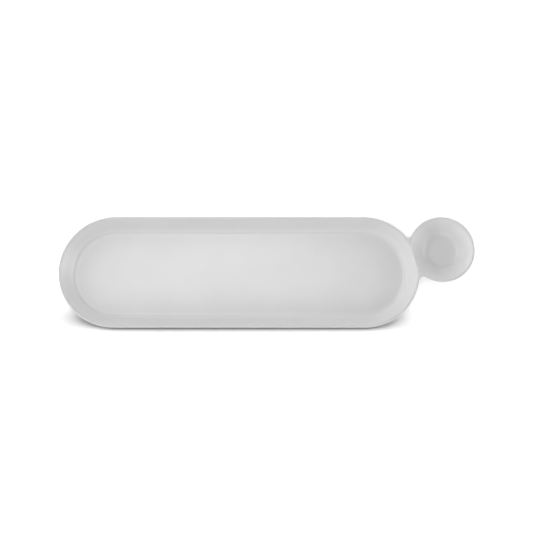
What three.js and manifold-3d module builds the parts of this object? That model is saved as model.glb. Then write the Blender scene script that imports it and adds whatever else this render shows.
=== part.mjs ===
// A divided serving plate in glazed porcelain: a long pill-shaped tray with a small round dip bowl joined
// to its far right end. Millimetres, +Z up, +X towards the bowl, +Y away from the person served. It stands
// on Z = 0.
import * as THREE from "three";
import { mergeVertices } from "three/addons/utils/BufferGeometryUtils.js";
import Module from "manifold-3d";

// Driving dimensions
const TRAY_LENGTH = 350;
const TRAY_WIDTH = 108.6;
const TRAY_WALL_LEAN = THREE.MathUtils.degToRad(33); // from upright
const TRAY_COVE = 5; // radius of the hollow between the wall and the floor
const BOWL_DIAMETER = 64.6;
const BOWL_WALL_LEAN = THREE.MathUtils.degToRad(44);
const BOWL_OUTER_LEAN = THREE.MathUtils.degToRad(40); // less than inside: the wall thickens towards its foot
const BOWL_COVE = 9;
const BOWL_LEAD = 3.3; // how far the bowl's floor lies to the right of the middle of its rim
const BOWL_BITE = 7.4; // how far the bowl's rim line reaches inside the tray's
const PLATE_HEIGHT = 20; // table to the top of the rim
const WALL_THICKNESS = 3.2; // walls, and the full round of the rim
const BASE_THICKNESS = 4;
const FLOOR_LAND = 10; // reach of the flat middle of both floors
const FLOOR_CROWN = 900; // radius at which they fall away from it to the cove
const HEEL_ROUND = 3; // outside, between the wall and the underside
const NOTCH_ROUND = 3.5; // in plan, where the outlines of tray and bowl meet
const RIDGE_ROUND = 1.2; // height over which the crest of the shared wall is softened
const GROOVE_ROOF = 1; // least width of clay where the groove closes under the ridge
const FOOT_HEIGHT = 2;
const FOOT_SETBACK = 2; // from the end of the heel
const FOOT_EDGE_ROUND = 0.7;
const TRAY_FOOT_WIDTH = 4;
const BOWL_FOOT_WIDTH = 3;
const JOINT_GAP = 0.3; // the line of slip at each side of the shared wall
const JOINT_SETBACK = 1.6; // from the ends of the notch rounds to the lines of slip

// Facets
const TRAY_END_STEPS = 40; // round half a turn
const BOWL_END_STEPS = 30;
const CROWN_STEPS = 2;
const COVE_STEPS = 5;
const HEEL_STEPS = 4;
const RIM_STEPS = 3; // in each quarter of the rim, and in each edge of the feet
const RIDGE_ROWS = 28;
const RIDGE_COLUMNS = 14;
const NOTCH_STEPS = 10;
const NECK_LEVELS = 8;
const MERGE_DISTANCE = 1e-4;
const HALVINGS = 40; // of the height in which the top of the groove is looked for
const SETTLINGS = 30; // turns in which a wall that leans unevenly is worked out

// Levels, vessels and places worked out from them
const UNDERSIDE = FOOT_HEIGHT;
const FLOOR = UNDERSIDE + BASE_THICKNESS;
const RIM_ROUND = WALL_THICKNESS / 2;
const RIM_CENTRE = PLATE_HEIGHT - RIM_ROUND;

const TRAY = {
  reach: TRAY_WIDTH / 2,
  halfStraight: (TRAY_LENGTH - TRAY_WIDTH) / 2,
  lean: TRAY_WALL_LEAN,
  outerLean: TRAY_WALL_LEAN,
  cove: TRAY_COVE,
  lead: 0,
  steps: TRAY_END_STEPS,
};
const BOWL = {
  reach: BOWL_DIAMETER / 2,
  halfStraight: 0,
  lean: BOWL_WALL_LEAN,
  outerLean: BOWL_OUTER_LEAN,
  cove: BOWL_COVE,
  lead: BOWL_LEAD,
  steps: BOWL_END_STEPS,
};

// The bowl's far edge lies on the line of the tray's far edge. The joint is square to the line from the
// middle of the tray's right end to the middle of the bowl, and is modelled along that line before it is
// turned into place.
const CENTRES_APART = TRAY.reach + BOWL.reach - BOWL_BITE;
const BOWL_ASIDE = TRAY.reach - BOWL.reach;
const BOWL_ALONG = TRAY.halfStraight + Math.sqrt(CENTRES_APART ** 2 - BOWL_ASIDE ** 2);
const JOINT_TURN = Math.asin(BOWL_ASIDE / CENTRES_APART);
const toJoint = (geometry) => geometry.rotateZ(JOINT_TURN).translate(TRAY.halfStraight, 0, 0);
const toBowl = (geometry) => geometry.translate(BOWL_ALONG, BOWL_ASIDE, 0);

const wasm = await Module();
wasm.setup();

// Points along an arc, its ends among them.
function arc(across, up, radius, from, to, steps) {
  return new THREE.EllipseCurve(across, up, radius, radius, from, to, to < from).getPoints(steps);
}

// Reach of the place where the heel's round ends and the flat underside starts. The round takes away the
// same length from the underside and from the wall.
function heelStart({ reach, outerLean }) {
  const wallEnd = reach - RIM_ROUND + RIM_ROUND * Math.cos(outerLean);
  const drop = RIM_CENTRE - RIM_ROUND * Math.sin(outerLean) - UNDERSIDE;
  return wallEnd - drop * Math.tan(outerLean) - HEEL_ROUND / Math.tan(Math.PI / 4 + outerLean / 2);
}

// Half section of the hollow, from the middle of the floor to the top of the rim: the flat land, the crown
// that falls away from it, the cove and the inner side of the rim. The cove touches the crown from above
// and the wall from inside.
function hollowSection({ reach, lean, cove }) {
  const rim = reach - RIM_ROUND;
  const crownCentre = new THREE.Vector2(FLOOR_LAND, FLOOR - FLOOR_CROWN);
  const wallFacing = new THREE.Vector2(-Math.cos(lean), Math.sin(lean));
  const besideWall = new THREE.Vector2(rim, RIM_CENTRE)
    .addScaledVector(wallFacing, RIM_ROUND + cove)
    .sub(crownCentre);
  const down = new THREE.Vector2(-Math.sin(lean), -Math.cos(lean));
  const along = besideWall.dot(down);
  const run = -along - Math.sqrt(along ** 2 - besideWall.lengthSq() + (FLOOR_CROWN + cove) ** 2);
  const fromCrown = besideWall.addScaledVector(down, run);
  const tilt = Math.atan2(fromCrown.x, fromCrown.y);
  const coveCentre = crownCentre.clone().add(fromCrown);
  return [
    new THREE.Vector2(0, FLOOR),
    ...arc(crownCentre.x, crownCentre.y, FLOOR_CROWN, Math.PI / 2, Math.PI / 2 - tilt, CROWN_STEPS),
    ...arc(coveCentre.x, coveCentre.y, cove, -Math.PI / 2 - tilt, -lean, COVE_STEPS),
    ...arc(rim, RIM_CENTRE, RIM_ROUND, Math.PI - lean, Math.PI / 2, RIM_STEPS - 1),
  ];
}

// Half section of the outside, from the top of the rim to the middle of the underside.
function outerSection(vessel) {
  const { reach, outerLean } = vessel;
  const rim = reach - RIM_ROUND;
  return [
    ...arc(rim, RIM_CENTRE, RIM_ROUND, Math.PI / 2, 0, RIM_STEPS),
    ...arc(rim, RIM_CENTRE, RIM_ROUND, 0, -outerLean, RIM_STEPS - 1),
    ...arc(heelStart(vessel), UNDERSIDE + HEEL_ROUND, HEEL_ROUND, -outerLean, -Math.PI / 2, HEEL_STEPS),
    new THREE.Vector2(0, UNDERSIDE),
  ];
}

// Closed section of a foot ring, flat where it meets the underside and where it stands.
function footSection(vessel, width) {
  const outside = heelStart(vessel) - FOOT_SETBACK;
  const inside = outside - width;
  const round = FOOT_EDGE_ROUND;
  return [
    new THREE.Vector2(inside, UNDERSIDE),
    new THREE.Vector2(outside, UNDERSIDE),
    ...arc(outside - round, round, round, 0, -Math.PI / 2, RIM_STEPS),
    ...arc(inside + round, round, round, -Math.PI / 2, -Math.PI, RIM_STEPS),
    new THREE.Vector2(inside, UNDERSIDE),
  ];
}

// One surface through rings of points, each ring with as many points as the next. A ring that shrinks to a
// line or a point closes the surface there.
function skin(rings) {
  const around = rings[0].length;
  const corners = [];
  for (let row = 0; row + 1 < rings.length; row++) {
    for (let i = 0; i < around; i++) {
      const next = (i + 1) % around;
      const [a, d] = [row * around + i, row * around + next];
      const [b, c] = [a + around, d + around];
      corners.push(a, b, c, a, c, d);
    }
  }
  return new THREE.BufferGeometry().setFromPoints(rings.flat()).setIndex(corners);
}

// Share of a floor's lead at a height: none at the rim, little in the upper wall, all of it at the floor.
const leadShare = (height) =>
  THREE.MathUtils.clamp((PLATE_HEIGHT - height) / (PLATE_HEIGHT - FLOOR), 0, 1) ** 2;

// A section as rings round a vessel's plan: half a turn about each end of its straight, which is a circle
// where it has none. A lead moves the rings over to the right, the more the deeper they lie.
function ringsRound({ halfStraight, steps }, section, lead = 0) {
  const ringAt = ({ x: reach, y: height }) =>
    [1, -1].flatMap((side) =>
      Array.from({ length: steps + 1 }, (_, i) => {
        const turn = side * Math.PI * (i / steps - 1 / 2);
        const along = side * (halfStraight + reach * Math.cos(turn)) + lead * leadShare(height);
        return new THREE.Vector3(along, reach * Math.sin(turn), height);
      }),
    );
  return section.map(ringAt);
}

// A vessel, and the same vessel as if it were full to the rim.
function hollowVessel(vessel) {
  const inside = ringsRound(vessel, hollowSection(vessel), vessel.lead);
  return skin([...inside, ...ringsRound(vessel, outerSection(vessel))]);
}
function fullVessel(vessel) {
  return skin(ringsRound(vessel, [new THREE.Vector2(0, PLATE_HEIGHT), ...outerSection(vessel)]));
}

// Rings closed at both ends by a point in the middle of the first and of the last ring.
function capped(rings) {
  const shrunk = (ring) => {
    const middle = ring.reduce((sum, point) => sum.add(point), new THREE.Vector3()).divideScalar(ring.length);
    return ring.map(() => middle);
  };
  return [shrunk(rings[0]), ...rings, shrunk(rings.at(-1))];
}

// Closed geometry as a solid: points that coincide are merged, and triangles that shrank to nothing are
// dropped.
function solid(geometry) {
  const bare = new THREE.BufferGeometry().setAttribute("position", geometry.getAttribute("position"));
  const merged = mergeVertices(bare.setIndex(geometry.index), MERGE_DISTANCE);
  const triVerts = [];
  for (let i = 0; i < merged.index.count; i += 3) {
    const [a, b, c] = merged.index.array.subarray(i, i + 3);
    if (a !== b && b !== c && c !== a) triVerts.push(a, b, c);
  }
  const vertProperties = merged.getAttribute("position").array;
  const mesh = new wasm.Mesh({ numProp: 3, vertProperties, triVerts: new Uint32Array(triVerts) });
  return new wasm.Manifold(mesh);
}

// Outer reach of a vessel at a height: the rim's round, then the leaning wall.
function outerReach({ reach, outerLean }, height) {
  const rim = reach - RIM_ROUND;
  const drop = RIM_CENTRE - height;
  const wallDrop = drop - RIM_ROUND * Math.sin(outerLean);
  if (wallDrop < 0) return rim + Math.sqrt(Math.max(RIM_ROUND ** 2 - drop ** 2, 0));
  return rim + RIM_ROUND * Math.cos(outerLean) - wallDrop * Math.tan(outerLean);
}

// Height of a vessel's inner wall at a place along and aside of the joint's line, measured from the
// vessel's middle. The wall's line goes on up past the rim. Where the floor leads to the right, height and
// place are worked out from each other by turns.
function innerWallHeight({ reach, lean, lead }, along, aside) {
  const wallTop = reach - RIM_ROUND - RIM_ROUND * Math.cos(lean);
  const [leadAlong, leadAside] = [lead * Math.cos(JOINT_TURN), -lead * Math.sin(JOINT_TURN)];
  let height = PLATE_HEIGHT;
  for (let i = 0; i < SETTLINGS; i++) {
    const share = leadShare(height);
    const at = Math.hypot(along - share * leadAlong, aside - share * leadAside);
    height = RIM_CENTRE + RIM_ROUND * Math.sin(lean) + (at - wallTop) / Math.tan(lean);
  }
  return height;
}

// The lower of two heights, rounded over where they differ by less than the round.
const softLower = (a, b, round) => Math.min(a, b) - Math.max(round - Math.abs(a - b), 0) ** 2 / (4 * round);

// The round of the notch at a height: a circle that touches the outsides of tray and bowl, with its centre
// along and aside of the joint's line, and the turns from that centre towards each vessel's middle.
function notchRound(height) {
  const toTray = outerReach(TRAY, height) + NOTCH_ROUND;
  const toBowlMiddle = outerReach(BOWL, height) + NOTCH_ROUND;
  const along = (CENTRES_APART ** 2 + toTray ** 2 - toBowlMiddle ** 2) / (2 * CENTRES_APART);
  const aside = Math.sqrt(Math.max(toTray ** 2 - along ** 2, 0));
  return {
    along,
    aside,
    trayTurn: Math.atan2(-aside, -along),
    bowlTurn: Math.atan2(-aside, CENTRES_APART - along),
  };
}

// Outline of the neck of clay between the two notches at a height, from the bowl's side round the tray's
// side and back.
function neckOutline(height) {
  const { along, aside, trayTurn, bowlTurn } = notchRound(height);
  const farNotch = Array.from({ length: NOTCH_STEPS + 1 }, (_, i) => {
    const turn = THREE.MathUtils.lerp(bowlTurn, trayTurn, i / NOTCH_STEPS);
    const [over, up] = [NOTCH_ROUND * Math.cos(turn), NOTCH_ROUND * Math.sin(turn)];
    return new THREE.Vector3(along + over, aside + up, height);
  });
  const nearNotch = farNotch.map(({ x, y, z }) => new THREE.Vector3(x, -y, z)).reverse();
  return [...farNotch, ...nearNotch];
}

// Height at which the groove under the ridge closes: there the two notches are a roof's width apart.
function grooveHeight() {
  let [low, high] = [UNDERSIDE, RIM_CENTRE];
  for (let i = 0; i < HALVINGS; i++) {
    const middle = (low + high) / 2;
    if (notchRound(middle).aside > NOTCH_ROUND + GROOVE_ROOF / 2) high = middle;
    else low = middle;
  }
  return high;
}

// The neck of clay that fills the notches, level by level from the top of the rim to the groove. Levels
// follow the rim's round and then crowd towards the groove, where the notches close fast.
function neck() {
  const groove = grooveHeight();
  const levels = [];
  for (let i = 0; i < RIM_STEPS; i++) {
    levels.push(RIM_CENTRE + RIM_ROUND * Math.cos((Math.PI / 2) * (i / RIM_STEPS)));
  }
  for (let i = 0; i <= NECK_LEVELS; i++) {
    levels.push(groove + (RIM_CENTRE - groove) * (1 - i / NECK_LEVELS) ** 2);
  }
  return skin(capped(levels.map(neckOutline)));
}

// The ridge between the two hollows: a block whose top is the lower of the two inner walls, softened where
// they cross and where they reach the rim's level.
function ridgeBlock(from, to, halfLength) {
  const topAt = (along, aside) => {
    const trayWall = innerWallHeight(TRAY, along, aside);
    const bowlWall = innerWallHeight(BOWL, along - CENTRES_APART, aside);
    return softLower(softLower(trayWall, bowlWall, RIDGE_ROUND), PLATE_HEIGHT, RIM_ROUND);
  };
  const rings = Array.from({ length: RIDGE_ROWS + 1 }, (_, row) => {
    const aside = THREE.MathUtils.lerp(-halfLength, halfLength, row / RIDGE_ROWS);
    const top = Array.from({ length: RIDGE_COLUMNS + 1 }, (_, column) => {
      const along = THREE.MathUtils.lerp(to, from, column / RIDGE_COLUMNS);
      return new THREE.Vector3(along, aside, topAt(along, aside));
    });
    return [new THREE.Vector3(from, aside, UNDERSIDE), new THREE.Vector3(to, aside, UNDERSIDE), ...top];
  });
  return skin(capped(rings));
}

// A block over the joint's line, between two places along it, wide and tall enough to cut a vessel's end
// off flat.
function endCut(from, to) {
  const block = new THREE.BoxGeometry(to - from, TRAY_WIDTH, 2 * PLATE_HEIGHT);
  return block.translate((from + to) / 2, 0, PLATE_HEIGHT / 2);
}

// The shared wall lies between two lines of slip, set back from where the notch rounds run into the tray
// and into the bowl.
const notch = notchRound(RIM_CENTRE);
const TRAY_SIDE = notch.along + NOTCH_ROUND * Math.cos(notch.trayTurn) - JOINT_SETBACK;
const BOWL_SIDE = notch.along + NOTCH_ROUND * Math.cos(notch.bowlTurn) + JOINT_SETBACK;
const HALF_GAP = JOINT_GAP / 2;

const pastTray = endCut(TRAY_SIDE - HALF_GAP, CENTRES_APART + BOWL.reach);
const tray = solid(hollowVessel(TRAY)).subtract(solid(toJoint(pastTray)));

const pastBowl = endCut(TRAY_SIDE - BOWL.reach, BOWL_SIDE + HALF_GAP);
const dipBowl = solid(toBowl(hollowVessel(BOWL))).subtract(solid(toJoint(pastBowl)));

const outsides = solid(fullVessel(TRAY)).add(solid(toBowl(fullVessel(BOWL)))).add(solid(toJoint(neck())));
const neckHalfLength = Math.sqrt(TRAY.reach ** 2 - TRAY_SIDE ** 2) + RIM_ROUND;
const ridge = ridgeBlock(TRAY_SIDE + HALF_GAP, BOWL_SIDE - HALF_GAP, neckHalfLength);
const divider = outsides.intersect(solid(toJoint(ridge)));

const trayFoot = solid(skin(ringsRound(TRAY, footSection(TRAY, TRAY_FOOT_WIDTH))));
const bowlFoot = solid(toBowl(skin(ringsRound(BOWL, footSection(BOWL, BOWL_FOOT_WIDTH)))));

const glaze = new THREE.MeshStandardMaterial({ color: 0xe0e0e0, roughness: 0.15, metalness: 0 });
const bareClay = new THREE.MeshStandardMaterial({ color: 0xd9d7d2, roughness: 0.85, metalness: 0 });

// A solid as a named mesh.
function piece(name, made, material) {
  const { vertProperties, triVerts } = made.getMesh();
  const geometry = new THREE.BufferGeometry()
    .setAttribute("position", new THREE.BufferAttribute(vertProperties, 3))
    .setIndex(new THREE.BufferAttribute(triVerts, 1));
  geometry.computeVertexNormals();
  const mesh = new THREE.Mesh(geometry, material);
  mesh.name = name;
  return mesh;
}

// The origin is under the middle of the whole plate.
const plate = new THREE.Group();
plate.position.x = -(BOWL_ALONG + BOWL.reach - TRAY_LENGTH / 2) / 2;
plate.add(
  piece("tray", tray, glaze),
  piece("dip_bowl", dipBowl, glaze),
  piece("divider", divider, glaze),
  piece("tray_foot_ring", trayFoot, bareClay),
  piece("bowl_foot_ring", bowlFoot, bareClay),
);

export default plate;
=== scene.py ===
import math
from types import SimpleNamespace

import bpy
import numpy as np
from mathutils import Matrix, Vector


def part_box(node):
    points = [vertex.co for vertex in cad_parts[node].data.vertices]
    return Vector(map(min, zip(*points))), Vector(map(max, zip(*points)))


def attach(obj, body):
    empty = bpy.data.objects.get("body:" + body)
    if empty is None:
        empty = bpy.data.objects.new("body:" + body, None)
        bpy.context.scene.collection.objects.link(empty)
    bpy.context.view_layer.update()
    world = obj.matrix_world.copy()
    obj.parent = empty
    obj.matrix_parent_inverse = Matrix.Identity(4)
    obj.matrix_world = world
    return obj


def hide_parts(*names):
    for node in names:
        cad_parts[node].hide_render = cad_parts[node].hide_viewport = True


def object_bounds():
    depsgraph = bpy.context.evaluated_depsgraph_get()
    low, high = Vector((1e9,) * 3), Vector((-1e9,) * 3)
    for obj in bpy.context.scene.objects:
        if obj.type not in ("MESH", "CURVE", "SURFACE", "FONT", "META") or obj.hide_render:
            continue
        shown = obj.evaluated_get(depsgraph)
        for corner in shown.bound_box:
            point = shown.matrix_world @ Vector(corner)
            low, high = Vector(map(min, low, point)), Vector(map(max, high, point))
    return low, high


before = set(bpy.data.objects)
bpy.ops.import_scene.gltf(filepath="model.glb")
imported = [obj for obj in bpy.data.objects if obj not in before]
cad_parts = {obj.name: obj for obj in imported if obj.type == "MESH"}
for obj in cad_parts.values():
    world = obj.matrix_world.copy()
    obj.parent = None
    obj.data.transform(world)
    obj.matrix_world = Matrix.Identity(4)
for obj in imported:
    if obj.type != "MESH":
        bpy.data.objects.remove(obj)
cad_low, cad_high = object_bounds()


# Tray: the long pill-shaped hollow that takes the food, pressed in white porcelain with leaning walls, a
# full round rim and a floor that is a hair higher in the middle. It is glazed all over but for its foot,
# and its right end is cut flat where the shared wall is slipped on.
tray_low, tray_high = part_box("tray")
tray_foot_low, tray_foot_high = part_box("tray_foot_ring")
_, bowl_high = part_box("dip_bowl")
bowl_foot_low, bowl_foot_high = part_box("bowl_foot_ring")
plate_height = cad_high.z
underside = tray_low.z
wall_thickness = 0.0032
rim_round = wall_thickness / 2
rim_centre = plate_height - rim_round
rim_softness = 0.0014
floor_level = underside + 0.004
floor_land = 0.010
floor_crown = 0.9
heel_round = 0.003
notch_round = 0.0035
joint_setback = 0.0016
pool_and_highlight_spread = 0.8
quarter = math.pi / 2
tray_reach = (tray_high.y - tray_low.y) / 2
tray_left = tray_low.x + tray_reach
tray_right = tray_foot_low.x + tray_foot_high.x - tray_left
bowl_x = (bowl_foot_low.x + bowl_foot_high.x) / 2
bowl_y = (bowl_foot_low.y + bowl_foot_high.y) / 2
bowl_reach = bowl_high.x - bowl_x
centres_apart = math.hypot(bowl_x - tray_right, bowl_y)
joint_turn = math.atan2(bowl_y, bowl_x - tray_right)


def vessel(right, left, middle_y, reach, lean, outer_lean, cove, lead):
    """Lines of a hollow with leaning walls, as distances from its middle line. The cove is the circle
    that touches the crowned floor from above and the line of the inner wall. lead is how far the floor
    lies to the right of the rim's middle."""
    rim = reach - rim_round
    across = rim_round * math.cos(lean)
    up = rim_round * math.sin(lean)
    rim_end = rim + rim_round * math.cos(outer_lean)
    rim_end_height = rim_centre - rim_round * math.sin(outer_lean)
    beside_x = rim - across - cove * math.cos(lean) - floor_land
    beside_z = rim_centre + up + cove * math.sin(lean) - floor_level + floor_crown
    along = beside_x * math.sin(lean) + beside_z * math.cos(lean)
    to_touch = along - math.sqrt(along**2 - beside_x**2 - beside_z**2 + (floor_crown + cove) ** 2)
    cove_centre = floor_land + beside_x - to_touch * math.sin(lean)
    heel_corner = rim_end - (rim_end_height - underside) * math.tan(outer_lean)
    heel_start = heel_corner - heel_round / math.tan(math.pi / 4 + outer_lean / 2)
    return SimpleNamespace(
        right=right,
        left=left,
        middle_y=middle_y,
        reach=reach,
        lean=lean,
        outer_lean=outer_lean,
        cove=cove,
        lead=lead,
        rim=rim,
        wall_top=rim - across,
        wall_top_height=rim_centre + up,
        floor_end=floor_land + (cove_centre - floor_land) * floor_crown / (floor_crown + cove),
        cove_centre=cove_centre,
        cove_level=floor_level - floor_crown + beside_z - to_touch * math.cos(lean),
        cove_end=cove_centre + cove * math.cos(lean),
        rim_end=rim_end,
        rim_end_height=rim_end_height,
        heel_start=heel_start,
        heel_end=heel_start + heel_round * math.cos(outer_lean),
    )


def soft_lower(a, b, round_over):
    """The lower of two heights, rounded over by a parabola where they differ by less than round_over."""
    return np.minimum(a, b) - np.maximum(round_over - np.abs(a - b), 0) ** 2 / (4 * round_over)


def rim_drop(inset):
    """How far the rim's outer quarter round falls below its top, at a distance inside the outline."""
    return rim_round - np.sqrt(rim_round**2 - np.clip(rim_round - inset, 0, rim_round) ** 2)


def reach_of(v, x, y):
    """Distance in plan from the vessel's middle line, which is a point for a round one."""
    along = np.maximum(np.maximum(x - v.right, v.left - x), 0)
    return np.hypot(along, y - v.middle_y)


def section(v, reach):
    """Height of the hollow at a distance from its middle line: a flat land, the arc of the crowned floor,
    the cove's arc, and the straight inner wall, whose line goes on up past the rim."""
    in_crown = np.clip(reach - floor_land, 0, v.floor_end - floor_land)
    floor = floor_level - floor_crown + np.sqrt(floor_crown**2 - in_crown**2)
    in_cove = np.clip(reach - v.cove_centre, -v.cove, v.cove)
    cove = v.cove_level - np.sqrt(v.cove**2 - in_cove**2)
    wall = v.wall_top_height + (reach - v.wall_top) / math.tan(v.lean)
    return np.where(reach < v.floor_end, floor, np.where(reach < v.cove_end, cove, wall))


def settled(v, x, y):
    """Distance from the middle line of the section that passes through a point of the plan. The section
    moves over by the lead with the square of its depth, so distance and height are worked out from each
    other by turns."""
    rounds = 30
    reach = reach_of(v, x, y)
    for _ in range(rounds):
        depth = np.clip((plate_height - section(v, reach)) / (plate_height - floor_level), 0, 1)
        reach = reach_of(v, x - depth**2 * v.lead, y)
    return reach


def vessel_top(v, x, y):
    """Upper surface: the hollow, rounded over at the rim's level, less the rim's outer round."""
    hollow = section(v, settled(v, x, y))
    return soft_lower(hollow, plate_height, rim_softness) - rim_drop(v.reach - reach_of(v, x, y))


def vessel_under(v, x, y):
    """Lower surface: the rim's round from its widest point, the straight outer wall, the heel's arc and
    the flat underside."""
    reach = np.minimum(reach_of(v, x, y), v.reach)
    rim = rim_centre - np.sqrt(np.maximum(rim_round**2 - np.maximum(reach - v.rim, 0) ** 2, 0))
    wall = v.rim_end_height - (v.rim_end - reach) / math.tan(v.outer_lean)
    in_heel = np.clip(reach - v.heel_start, 0, heel_round)
    heel = underside + heel_round - np.sqrt(heel_round**2 - in_heel**2)
    return np.where(reach > v.rim_end, rim, np.where(reach > v.heel_end, wall, heel))


def pooled_and_highlit(v, x, y):
    """How much glaze has run together, and so how much painted highlight: 0 to 1, a bell over the cove."""
    middle = (v.floor_end + v.cove_end) / 2
    width = pool_and_highlight_spread * (v.cove_end - v.floor_end)
    return np.exp(-(((settled(v, x, y) - middle) / width) ** 2))


def facing(height, x, y, side):
    """Unit normals of a height over the plan, from its slope across two micrometres. side is 1 for up and
    -1 for down."""
    step = 1e-6
    slope_x = (height(x + step, y) - height(x - step, y)) / (2 * step)
    slope_y = (height(x, y + step) - height(x, y - step)) / (2 * step)
    normals = np.stack([-side * slope_x, -side * slope_y, np.full_like(x, side)], axis=-1)
    return normals / np.linalg.norm(normals, axis=-1, keepdims=True)


def grid_quads(rows, columns, closed):
    """Corner numbers of the quads of a grid of points, with the last row joined to the first if
    closed."""
    row = np.arange(rows if closed else rows - 1)[:, None]
    column = np.arange(columns - 1)[None, :]
    here = row * columns + column
    beside = (row + 1) % rows * columns + column
    return np.stack([here, here + 1, beside + 1, beside], axis=-1).reshape(-1, 4)


def fired(name, points, normals, pool_and_highlight, quads, material):
    """One closed mesh: points that coincide are welded and triangles that shrank to nothing are dropped.
    The glaze takes smoothness from the given normals, and thickness and painted highlight from the pool."""
    weld = 1e-7
    places = np.round(points / weld).astype(np.int64)
    _, first, index = np.unique(places, axis=0, return_index=True, return_inverse=True)
    corners = index.reshape(-1)[quads]
    triangles = np.concatenate([corners[:, [0, 1, 2]], corners[:, [0, 2, 3]]])
    a, b, c = triangles.T
    triangles = triangles[(a != b) & (b != c) & (c != a)]
    mesh = bpy.data.meshes.new(name)
    mesh.from_pydata(points[first], [], triangles)
    mesh.polygons.foreach_set("use_smooth", np.ones(len(triangles), bool))
    thickness = mesh.attributes.new("pool_and_highlight", "FLOAT", "POINT")
    thickness.data.foreach_set("value", pool_and_highlight[first].astype(np.float32))
    mesh.normals_split_custom_set_from_vertices(normals[first])
    mesh.materials.append(material)
    piece = bpy.data.objects.new(name, mesh)
    bpy.context.scene.collection.objects.link(piece)
    return piece


def arc_steps(start, end, steps):
    """Evenly spread turns, in radians, from start to end."""
    return np.linspace(start, end, steps + 1)


rim_insets = rim_round * (1 - np.cos(arc_steps(0, quarter, 12)))
seam_shares = np.linspace(-1, 1, 61)[1:-1]


def seam_rows(half_widths):
    """Places across a seam from one edge to the other: close together in the two rim rounds, and even
    between them. half_widths holds the seam's half width at each of the rim's insets, the outline
    first."""
    middle = seam_shares.reshape(-1, *[1] * (half_widths.ndim - 1)) * half_widths[-1]
    return np.concatenate([-half_widths, middle, half_widths[::-1]])


def vessel_rows(v):
    """Distances from the middle line at which the section is sampled: out along the upper surface to the
    rim's widest point, and back along the lower surface."""
    soft_start = v.wall_top - (rim_softness - plate_height + v.wall_top_height) * math.tan(v.lean)
    upper = [
        np.linspace(0, floor_land, 3),
        np.linspace(floor_land, v.floor_end, 16)[1:-1],
        v.cove_centre + v.cove * np.sin(arc_steps(0, quarter - v.lean, 18)),
        np.linspace(v.cove_end, soft_start, 9)[1:-1],
        np.linspace(soft_start, v.rim, 13)[:-1],
        v.rim + rim_round * np.sin(arc_steps(0, quarter, 14)),
    ]
    lower = [
        v.rim + rim_round * np.cos(arc_steps(0, v.outer_lean, 8)),
        np.linspace(v.rim_end, v.heel_end, 9)[1:-1],
        v.heel_start + heel_round * np.cos(arc_steps(v.outer_lean, quarter, 10)),
        np.linspace(v.heel_start, 0, 5)[1:],
    ]
    return np.concatenate(upper), np.concatenate(lower)


def plan_rays(v, turn):
    """Rays round a closed plan, counterclockwise: about the right end, along the far side, about the left
    end and back along the near side. turn rises from -90 to 270 degrees. Gives where each ray starts, and
    its turn."""
    hair = 1e-9
    straight = np.linspace(0, 1, 25)[1:-1]
    right_end = turn[turn < quarter + hair]
    left_end = turn[turn > quarter - hair]
    over = [np.zeros_like(right_end), straight, np.ones_like(left_end), 1 - straight]
    turns = [right_end, np.full_like(straight, quarter), left_end, np.full_like(straight, 3 * quarter)]
    return v.right + np.concatenate(over) * (v.left - v.right), np.concatenate(turns)


def notch_centre(tray_out, bowl_out, round_out):
    """Along and aside of the joint's line, the centre of a circle of radius round_out that touches the
    outsides of two circles, tray_out and bowl_out, whose centres are the tray's right end and the bowl's
    middle."""
    to_tray = tray_out + round_out
    to_bowl = bowl_out + round_out
    along = (centres_apart**2 + to_tray**2 - to_bowl**2) / (2 * centres_apart)
    return along, np.sqrt(np.maximum(to_tray**2 - along**2, 0))


def cut_vessel(name, v, towards, seam, material):
    """A vessel as rays in plan out from its middle line, each carrying the section. Rays that meet the
    seam, a line square to the direction towards the other vessel, have their section drawn in to end
    there."""
    half_seam = np.sqrt((v.reach - rim_insets) ** 2 - seam**2)
    seam_turns = towards + np.arctan2(seam_rows(half_seam), seam)
    turn = arc_steps(-quarter, 3 * quarter, 120)
    beside_seam = turn[(turn < seam_turns[0]) | (turn > seam_turns[-1])]
    start_x, turn = plan_rays(v, np.sort(np.concatenate([beside_seam, seam_turns])))
    straight_on = np.cos(turn - towards)
    seam_edge = seam / v.reach
    to_seam = seam / np.maximum(straight_on, seam_edge)
    limit = np.where(straight_on > seam_edge, to_seam, v.reach)[:, None]
    upper, lower = vessel_rows(v)
    surfaces = ((upper, v.floor_end, vessel_top, 1), (lower, v.heel_start, vessel_under, -1))
    points, normals = [], []
    for rows, fixed, surface, side in surfaces:
        out = np.clip((rows - fixed) / (v.reach - fixed), 0, 1)
        reach = np.minimum(rows, fixed) + out * (limit - fixed)
        moved = (1 - out) * (side > 0)
        x = start_x[:, None] + reach * np.cos(turn)[:, None] + moved * v.lead
        y = np.broadcast_to(v.middle_y + reach * np.sin(turn)[:, None], x.shape)
        points.append(np.stack([x, y, surface(v, x, y)], axis=-1))
        normals.append(facing(lambda x, y: surface(v, x, y), x, y, side))
    points = np.concatenate(points, axis=1)
    normals = np.concatenate(normals, axis=1)
    # The pool gives thicker glaze and a painted highlight in the coves; the underside gets none.
    pool_and_highlight = pooled_and_highlit(v, points[..., 0], points[..., 1])
    pool_and_highlight[:, len(upper):] = 0
    quads = grid_quads(*points.shape[:2], True)
    return fired(name, points.reshape(-1, 3), normals.reshape(-1, 3), pool_and_highlight.reshape(-1), quads, material)


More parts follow.
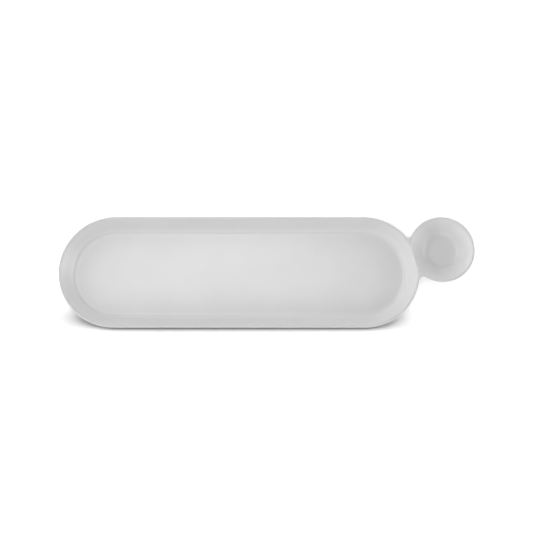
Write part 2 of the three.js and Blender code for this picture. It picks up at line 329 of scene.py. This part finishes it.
# Kiln marks: the faint clouds, ripples and grain that firing leaves in glaze and clay.
kiln = bpy.data.node_groups.new("kiln_marks", "ShaderNodeTree")
kiln.interface.new_socket("Place", in_out="INPUT", socket_type="NodeSocketVector")
kiln_in = kiln.nodes.new("NodeGroupInput")
kiln_out = kiln.nodes.new("NodeGroupOutput")
for mark, scale, detail in (("Clouds", 28, 2), ("Ripple", 160, 1), ("Grain", 2600, 2)):
    kiln.interface.new_socket(mark, in_out="OUTPUT", socket_type="NodeSocketFloat")
    noise = kiln.nodes.new("ShaderNodeTexNoise")
    noise.inputs["Scale"].default_value = scale
    noise.inputs["Detail"].default_value = detail
    kiln.links.new(kiln_in.outputs["Place"], noise.inputs["Vector"])
    kiln.links.new(noise.outputs["Fac"], kiln_out.inputs[mark])


def kiln_marks(tree):
    """Adds the marks of the kiln to a material, over the object's own coordinates. Gives their node, and
    the height above the table."""
    place = tree.nodes.new("ShaderNodeTexCoord")
    marks = tree.nodes.new("ShaderNodeGroup")
    marks.node_tree = kiln
    height = tree.nodes.new("ShaderNodeSeparateXYZ")
    tree.links.new(place.outputs["Object"], marks.inputs["Place"])
    tree.links.new(place.outputs["Object"], height.inputs["Vector"])
    return marks, height.outputs["Z"]


def between(tree, mask, first, second):
    """A colour that goes from the first to the second with the mask. Each is a colour, or another such
    mix."""
    mix = tree.nodes.new("ShaderNodeMix")
    mix.data_type = "RGBA"
    tree.links.new(mask, mix.inputs["Factor"])
    for tone, socket in zip((first, second), mix.inputs[6:8]):
        if isinstance(tone, bpy.types.NodeSocket):
            tree.links.new(tone, socket)
        else:
            socket.default_value = (*tone, 1)
    return mix.outputs[2]


def ranged(tree, value, low, high, to_low, to_high):
    """A value's span from low to high, taken to another span and held at its ends."""
    span = tree.nodes.new("ShaderNodeMapRange")
    tree.links.new(value, span.inputs["Value"])
    ends = {"From Min": low, "From Max": high, "To Min": to_low, "To Max": to_high}
    for socket, number in ends.items():
        span.inputs[socket].default_value = number
    return span.outputs["Result"]


def bumped(tree, height, depth):
    """Normals roughened by a height from 0 to 1 that stands for a depth in metres."""
    bump = tree.nodes.new("ShaderNodeBump")
    bump.inputs["Distance"].default_value = depth
    tree.links.new(height, bump.inputs["Height"])
    return bump.outputs["Normal"]


# Glaze: clear over the white body and a little cloudy. It is paler in the coves, where it gathers: partly
# the thicker glaze, partly a painted highlight. It is greyer on the rim: partly thin glaze, partly painted
# shade.
cloudy_white = (0.765, 0.765, 0.765)
clear_white = (0.79, 0.79, 0.79)
gathered_and_highlit_white = (0.83, 0.83, 0.83)
thin_and_shaded_rim_white = (0.73, 0.73, 0.73)
ripple_depth = 0.00003
glaze = bpy.data.materials.new("porcelain_glaze")
glaze.use_nodes = True
glaze_tree = glaze.node_tree
glaze_shader = glaze_tree.nodes["Principled BSDF"]
glaze_marks, glaze_height = kiln_marks(glaze_tree)
glaze_pool_and_highlight = glaze_tree.nodes.new("ShaderNodeAttribute")
glaze_pool_and_highlight.attribute_name = "pool_and_highlight"
clearing = ranged(glaze_tree, glaze_marks.outputs["Clouds"], 0.3, 0.7, 0, 1)
body = between(glaze_tree, clearing, cloudy_white, clear_white)
# Paler in the coves: partly the thicker glaze, partly a painted highlight.
gathered_and_highlit = between(glaze_tree, glaze_pool_and_highlight.outputs["Fac"], body, gathered_and_highlit_white)
# Greyer on the rim: partly the thin glaze, partly a painted shade that tones down the lit rim top.
at_rim = ranged(glaze_tree, glaze_height, plate_height - rim_round, plate_height, 0, 1)
glaze_colour = between(glaze_tree, at_rim, gathered_and_highlit, thin_and_shaded_rim_white)
glaze_tree.links.new(glaze_colour, glaze_shader.inputs["Base Color"])
glaze_gloss = ranged(glaze_tree, glaze_marks.outputs["Grain"], 0.2, 0.8, 0.09, 0.14)
glaze_tree.links.new(glaze_gloss, glaze_shader.inputs["Roughness"])
glaze_bump = bumped(glaze_tree, glaze_marks.outputs["Ripple"], ripple_depth)
glaze_tree.links.new(glaze_bump, glaze_shader.inputs["Normal"])

tray_lean = math.radians(33)
tray_cove = 0.005
tray = vessel(tray_right, tray_left, 0.0, tray_reach, tray_lean, tray_lean, tray_cove, lead=0.0)
notch_from_tray, _ = notch_centre(tray_reach, bowl_reach, notch_round)
tray_seam = notch_from_tray * tray_reach / (tray_reach + notch_round) - joint_setback
tray_piece = cut_vessel("porcelain_tray", tray, joint_turn, tray_seam, glaze)
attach(tray_piece, "root")
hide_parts("tray")


# Dip bowl: the small round hollow for a sauce, pressed in the same porcelain with walls that lean out
# further. Its far edge lines up with the tray's, its floor lies a little away from the tray, and it is
# cut flat where it faces the tray.
bowl_lean = math.radians(44)
bowl_outer_lean = math.radians(40)
bowl_cove = 0.009
bowl_lead = 0.0033
bowl = vessel(bowl_x, bowl_x, bowl_y, bowl_reach, bowl_lean, bowl_outer_lean, bowl_cove, bowl_lead)
notch_from_bowl = centres_apart - notch_from_tray
bowl_seam = notch_from_bowl * bowl_reach / (bowl_reach + notch_round) - joint_setback
bowl_piece = cut_vessel("porcelain_dip_bowl", bowl, joint_turn + math.pi, bowl_seam, glaze)
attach(bowl_piece, "root")
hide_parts("dip_bowl")


# Divider: the short wall that tray and bowl share, slipped on between their cut ends and glazed over with
# them. Its crest is wiped round, dips between the two rims, and runs out into rounded notches where the
# outlines meet. Underneath, the two outer walls close over it in a groove.
ridge_round = 0.0012


def to_joint(x, y):
    """A point of the plan, measured along the line from the tray's right end to the bowl's middle, and
    aside of it."""
    along = (x - tray_right) * math.cos(joint_turn) + y * math.sin(joint_turn)
    return along, y * math.cos(joint_turn) - (x - tray_right) * math.sin(joint_turn)


def half_width(along, tray_out, bowl_out, round_out):
    """Half the width of the plate across the joint's line: the tray's circle, the notch's round and the
    bowl's circle."""
    notch_along, notch_aside = notch_centre(tray_out, bowl_out, round_out)
    tray_end = notch_along * tray_out / (tray_out + round_out)
    bowl_end = centres_apart - (centres_apart - notch_along) * bowl_out / (bowl_out + round_out)
    in_tray = np.sqrt(np.maximum(tray_out**2 - along**2, 0))
    in_bowl = np.sqrt(np.maximum(bowl_out**2 - (centres_apart - along) ** 2, 0))
    in_notch = notch_aside - np.sqrt(np.maximum(round_out**2 - (along - notch_along) ** 2, 0))
    return np.where(along < tray_end, in_tray, np.where(along > bowl_end, in_bowl, in_notch))


def inset_of(along, aside):
    """Distance inside the plate's outline: to the notch's round between the lines from its centre to the
    two middles, and otherwise to that of the two vessels' circles which the point is deeper inside."""
    aside = np.abs(aside)
    notch_along, notch_aside = notch_centre(tray.reach, bowl.reach, notch_round)
    before_bowl = centres_apart - along
    below_tray_line = along * notch_aside > aside * notch_along
    below_bowl_line = before_bowl * notch_aside > aside * (centres_apart - notch_along)
    to_notch = np.hypot(along - notch_along, aside - notch_aside) - notch_round
    in_tray = tray.reach - np.hypot(along, aside)
    in_bowl = bowl.reach - np.hypot(before_bowl, aside)
    return np.where(below_tray_line & below_bowl_line, to_notch, np.maximum(in_tray, in_bowl))


def ridge_top(x, y):
    """The lower of the two hollows, rounded over where they cross and at the rim's level, less the rim's
    outer round."""
    tray_wall = section(tray, settled(tray, x, y))
    bowl_wall = section(bowl, settled(bowl, x, y))
    crest = soft_lower(tray_wall, bowl_wall, ridge_round)
    return soft_lower(crest, plate_height, rim_softness) - rim_drop(inset_of(*to_joint(x, y)))


def outer_reach(v, height):
    """Distance of the vessel's outer surface from its middle line at a height: the rim's round, then the
    leaning wall."""
    rim = v.rim + np.sqrt(np.maximum(rim_round**2 - (rim_centre - height) ** 2, 0))
    wall = v.rim_end - (v.rim_end_height - height) * math.tan(v.outer_lean)
    return np.where(height > v.rim_end_height, rim, wall)


def ridge_under(x, y):
    """The level at which the plate's outline, which draws in towards the foot, passes through a point of
    the plan. It is found by halving the span of levels again and again."""
    halvings = 48
    along, aside = to_joint(x, y)
    low = np.full_like(x, underside)
    high = np.full_like(x, rim_centre)
    for _ in range(halvings):
        middle = (low + high) / 2
        outline = half_width(along, outer_reach(tray, middle), outer_reach(bowl, middle), notch_round)
        outside = outline <= np.abs(aside)
        low = np.where(outside, middle, low)
        high = np.where(outside, high, middle)
    return high


seam_to_seam = np.linspace(tray_seam, centres_apart - bowl_seam, 45)
insets = rim_insets[:, None]
neck = half_width(seam_to_seam[None, :], tray.reach - insets, bowl.reach - insets, notch_round + insets)
ridge_aside = seam_rows(neck).T
ridge_x = tray_right + seam_to_seam[:, None] * math.cos(joint_turn) - ridge_aside * math.sin(joint_turn)
ridge_y = seam_to_seam[:, None] * math.sin(joint_turn) + ridge_aside * math.cos(joint_turn)
ridge_points, ridge_normals = [], []
for order, surface, side in ((slice(None, None, -1), ridge_top, 1), (slice(None), ridge_under, -1)):
    x, y = ridge_x[:, order], ridge_y[:, order]
    ridge_points.append(np.stack([x, y, surface(x, y)], axis=-1))
    ridge_normals.append(facing(surface, x, y, side))
ridge_points = np.concatenate(ridge_points, axis=1)
ridge_normals = np.concatenate(ridge_normals, axis=1)
rows, columns = ridge_points.shape[:2]
cap = np.arange(columns // 2 - 1)
mirror = columns - 1 - cap
cap_quads = np.stack([cap, mirror, mirror - 1, cap + 1], axis=-1)
far_cap_quads = cap_quads[:, ::-1] + (rows - 1) * columns
ridge_quads = np.concatenate([grid_quads(rows, columns, False), cap_quads, far_cap_quads])
divider_piece = fired(
    "porcelain_divider",
    ridge_points.reshape(-1, 3),
    ridge_normals.reshape(-1, 3),
    np.zeros(rows * columns),
    ridge_quads,
    glaze,
)
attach(divider_piece, "root")
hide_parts("divider")


# Foot rings: the low rims under tray and bowl that the plate stands on, turned in one piece with the
# underside and wiped clear of glaze before firing. The clay is bare, matt and a little warm; where it
# stands it is rubbed grey.
foot_edge_round = 0.0007
tray_foot_width = 0.004
bowl_foot_width = 0.003
dark_clay = (0.66, 0.645, 0.615)
pale_clay = (0.72, 0.71, 0.685)
rubbed_clay = (0.56, 0.555, 0.54)
rubbed_height = 0.0004
clay_grain_depth = 0.00006

bare_clay = bpy.data.materials.new("bare_clay")
bare_clay.use_nodes = True
clay_tree = bare_clay.node_tree
clay_shader = clay_tree.nodes["Principled BSDF"]
clay_marks, clay_height = kiln_marks(clay_tree)
clay_body = between(clay_tree, clay_marks.outputs["Grain"], dark_clay, pale_clay)
stood_on = ranged(clay_tree, clay_height, 0.0, rubbed_height, 1, 0)
clay_colour = between(clay_tree, stood_on, clay_body, rubbed_clay)
clay_tree.links.new(clay_colour, clay_shader.inputs["Base Color"])
clay_gloss = ranged(clay_tree, clay_marks.outputs["Ripple"], 0.3, 0.7, 0.8, 0.92)
clay_tree.links.new(clay_gloss, clay_shader.inputs["Roughness"])
clay_bump = bumped(clay_tree, clay_marks.outputs["Grain"], clay_grain_depth)
clay_tree.links.new(clay_bump, clay_shader.inputs["Normal"])


def foot_ring(name, v, outside, width):
    """A ring under a vessel: a flat band that meets the underside, with its two standing edges rounded.
    The top is hidden, so its corners take the normals of the sides."""
    inside = outside - width
    outer_turns = arc_steps(0, -quarter, 6)
    inner_turns = arc_steps(-quarter, -2 * quarter, 6)
    edge_turns = np.concatenate([outer_turns, inner_turns])
    centres = np.repeat([outside - foot_edge_round, inside + foot_edge_round], outer_turns.size)
    edges = centres + foot_edge_round * np.cos(edge_turns)
    reach = np.concatenate([[inside, outside], edges, [inside]])
    height = np.concatenate([[underside] * 2, foot_edge_round * (1 + np.sin(edge_turns)), [underside]])
    start_x, turn = plan_rays(v, arc_steps(-quarter, 3 * quarter, 160))
    turn = turn[:, None]
    x = start_x[:, None] + reach * np.cos(turn)
    y = v.middle_y + reach * np.sin(turn)
    points = np.stack([x, y, np.broadcast_to(height, x.shape)], axis=-1)
    over = np.concatenate([[-1, 1], np.cos(edge_turns), [-1]])
    up = np.concatenate([[0, 0], np.sin(edge_turns), [0]])
    normals = np.stack([over * np.cos(turn), over * np.sin(turn), np.broadcast_to(up, x.shape)], axis=-1)
    quads = grid_quads(*x.shape, True)
    return fired(name, points.reshape(-1, 3), normals.reshape(-1, 3), np.zeros(x.size), quads, bare_clay)


tray_foot_piece = foot_ring("tray_foot", tray, tray_foot_high.y, tray_foot_width)
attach(tray_foot_piece, "root")
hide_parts("tray_foot_ring")
bowl_foot_piece = foot_ring("bowl_foot", bowl, bowl_foot_high.y - bowl_y, bowl_foot_width)
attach(bowl_foot_piece, "root")
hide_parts("bowl_foot_ring")


# Table: a plain white sheet of paper that the plate stands on. As seen and mirrored its white is burnt out,
# so little of the real cast shadow shows; a painted shadow of the tray is put into that white instead: a
# dark line under the near side, which widens and fades towards both ends, sooner at the right.
table_size = 3.0
paper_white = (0.85, 0.85, 0.85)
burnt_out = 1.65
shadow_depth = 0.86
shadow_start = 0.4
shadow_lean = 1.4
shadow_inset = 0.002
shadow_width = 0.0029
shadow_spread = 0.067
shadow_flare = 1.25
shadow_end = 0.045


def painted_close_shadow(turn, out):
    """How much of the white the painted shadow takes away, at a turn about the tray's ends and a distance
    out
    from its outline: a bell over the distance, less deep and wider the less the turn is towards the near
    side."""
    nearness = np.clip(-np.sin(turn), 0, 1)
    rise = np.clip((nearness - shadow_start) / (1 - shadow_start), 0, 1)
    depth = shadow_depth * rise**2 * (3 - 2 * rise) * (1 - shadow_lean * np.cos(turn) * (1 - nearness))
    width = shadow_width + shadow_spread * (1 - nearness) ** shadow_flare
    return depth * np.exp(-((np.maximum(out + shadow_inset, 0) / width) ** 2))


end_turns = np.radians(np.linspace(-90, 90, 65))
table_turns = np.concatenate([end_turns, end_turns + math.pi])[:, None]
table_starts = np.repeat([tray.right, tray.left], end_turns.size)[:, None]
table_rows = np.linspace(-3 * shadow_inset, shadow_end, 103)
table_out = np.concatenate([[-tray.reach], table_rows, [table_size]])[None, :]
table_x = table_starts + (tray.reach + table_out) * np.cos(table_turns)
table_y = tray.middle_y + (tray.reach + table_out) * np.sin(table_turns)
table_mesh = bpy.data.meshes.new("table")
table_points = np.stack([table_x, table_y, np.zeros_like(table_x)], axis=-1)
table_mesh.from_pydata(table_points.reshape(-1, 3), [], grid_quads(*table_x.shape, True))
# The painted shadow: the burnt-out white less the painted close shadow, kept per point as the attribute
# white.
painted_shadow_white = burnt_out * (1 - painted_close_shadow(table_turns, table_out))
seen_white_with_painted_shadow = table_mesh.attributes.new("white", "FLOAT", "POINT")
seen_white_with_painted_shadow.data.foreach_set("value", painted_shadow_white.astype(np.float32).ravel())
table = bpy.data.objects.new("table", table_mesh)
bpy.context.scene.collection.objects.link(table)
paper = bpy.data.materials.new("white_paper")
paper.use_nodes = True
paper_tree = paper.node_tree
paper_tree.nodes.remove(paper_tree.nodes["Principled BSDF"])
paper_lit = paper_tree.nodes.new("ShaderNodeBsdfDiffuse")
paper_lit.inputs["Color"].default_value = (*paper_white, 1)
paper_seen = paper_tree.nodes.new("ShaderNodeBsdfDiffuse")
# The seen white, with the painted shadow in it, comes from that point attribute.
paper_shade = paper_tree.nodes.new("ShaderNodeAttribute")
paper_shade.attribute_name = "white"
paper_tree.links.new(paper_shade.outputs["Fac"], paper_seen.inputs["Color"])
paper_path = paper_tree.nodes.new("ShaderNodeLightPath")
paper_mix = paper_tree.nodes.new("ShaderNodeMixShader")
paper_shown = paper_path.outputs["Is Camera Ray"]
for ray in ("Is Glossy Ray", "Is Transmission Ray"):
    either = paper_tree.nodes.new("ShaderNodeMath")
    either.operation = "MAXIMUM"
    paper_tree.links.new(paper_shown, either.inputs[0])
    paper_tree.links.new(paper_path.outputs[ray], either.inputs[1])
    paper_shown = either.outputs["Value"]
paper_tree.links.new(paper_shown, paper_mix.inputs["Fac"])
paper_tree.links.new(paper_lit.outputs["BSDF"], paper_mix.inputs[1])
paper_tree.links.new(paper_seen.outputs["BSDF"], paper_mix.inputs[2])
paper_tree.links.new(paper_mix.outputs["Shader"], paper_tree.nodes["Material Output"].inputs["Surface"])
table_mesh.materials.append(paper)


# Light: a tent of soft lights, which the glaze mirrors; only the camera sees plain white in their place.
# Low ones stand round the plate, strongest to the right, and two higher ones on the near side. Four small
# ones overhead, towards the far side, make the glow on the tray's floor.
studio = bpy.data.worlds.new("studio")
bpy.context.scene.world = studio
studio.use_nodes = True
studio_tree = studio.node_tree
studio_place = studio_tree.nodes.new("ShaderNodeTexCoord")
studio_way = studio_tree.nodes.new("ShaderNodeVectorMath")
studio_way.operation = "NORMALIZE"
studio_tree.links.new(studio_place.outputs["Generated"], studio_way.inputs[0])


def soft_light(azimuth, elevation, sharpness, level):
    """Light from one side of the sky, falling off as a bell: the exponential of the cosine off its
    middle, less one, times the sharpness. azimuth is from the right round to the far side, in degrees."""
    turn = math.radians(azimuth)
    rise = math.radians(elevation)
    out = math.cos(rise)
    off = studio_tree.nodes.new("ShaderNodeVectorMath")
    off.operation = "DOT_PRODUCT"
    off.inputs[1].default_value = (out * math.cos(turn), out * math.sin(turn), math.sin(rise))
    studio_tree.links.new(studio_way.outputs["Vector"], off.inputs[0])
    fall = studio_tree.nodes.new("ShaderNodeMath")
    fall.operation = "MULTIPLY_ADD"
    fall.inputs[1].default_value = sharpness
    fall.inputs[2].default_value = math.log(level) - sharpness
    studio_tree.links.new(off.outputs["Value"], fall.inputs[0])
    bell = studio_tree.nodes.new("ShaderNodeMath")
    bell.operation = "EXPONENT"
    studio_tree.links.new(fall.outputs["Value"], bell.inputs[0])
    return bell.outputs["Value"]


lights = [
    soft_light(0, 4, 12, 4.8),
    soft_light(135, 4, 12, 2.6),
    soft_light(225, 4, 12, 1.4),
    soft_light(90, 22, 12, 1.45),
    soft_light(180, 22, 12, 1.95),
    soft_light(270, 22, 12, 1.4),
    soft_light(270, 38, 40, 1.55),
    soft_light(240, 60, 40, 1.95),
    soft_light(148, 73.5, 90, 2.4),
    soft_light(132, 78, 90, 1.1),
    soft_light(98, 76, 90, 3.25),
    soft_light(66, 80, 90, 1.15),
]
light_sum = lights[0]
for light in lights[1:]:
    both = studio_tree.nodes.new("ShaderNodeMath")
    studio_tree.links.new(light_sum, both.inputs[0])
    studio_tree.links.new(light, both.inputs[1])
    light_sum = both.outputs["Value"]
studio_lit = studio_tree.nodes["Background"]
studio_lit.inputs["Color"].default_value = (1, 1, 1, 1)
studio_tree.links.new(light_sum, studio_lit.inputs["Strength"])
studio_seen = studio_tree.nodes.new("ShaderNodeBackground")
studio_seen.inputs["Color"].default_value = (1, 1, 1, 1)
studio_path = studio_tree.nodes.new("ShaderNodeLightPath")
studio_mix = studio_tree.nodes.new("ShaderNodeMixShader")
studio_tree.links.new(studio_path.outputs["Is Camera Ray"], studio_mix.inputs["Fac"])
studio_tree.links.new(studio_lit.outputs["Background"], studio_mix.inputs[1])
studio_tree.links.new(studio_seen.outputs["Background"], studio_mix.inputs[2])
studio_tree.links.new(studio_mix.outputs["Shader"], studio_tree.nodes["World Output"].inputs["Surface"])
bpy.context.scene.view_settings.view_transform = "Standard"


# Camera: nearly overhead, on the near side, aimed at the level of the rim.
camera_rise = math.radians(80)
camera_aim = Vector((-0.0006, 0.0049, plate_height))
camera_distance = 0.8938
lens = bpy.data.cameras.new("camera")
lens.sensor_width = 36
lens.lens = 62.4
camera = bpy.data.objects.new("camera", lens)
camera.location = camera_aim + camera_distance * Vector((0, -math.cos(camera_rise), math.sin(camera_rise)))
camera.rotation_euler = (quarter - camera_rise, 0, 0)
bpy.context.scene.collection.objects.link(camera)
bpy.context.scene.camera = camera
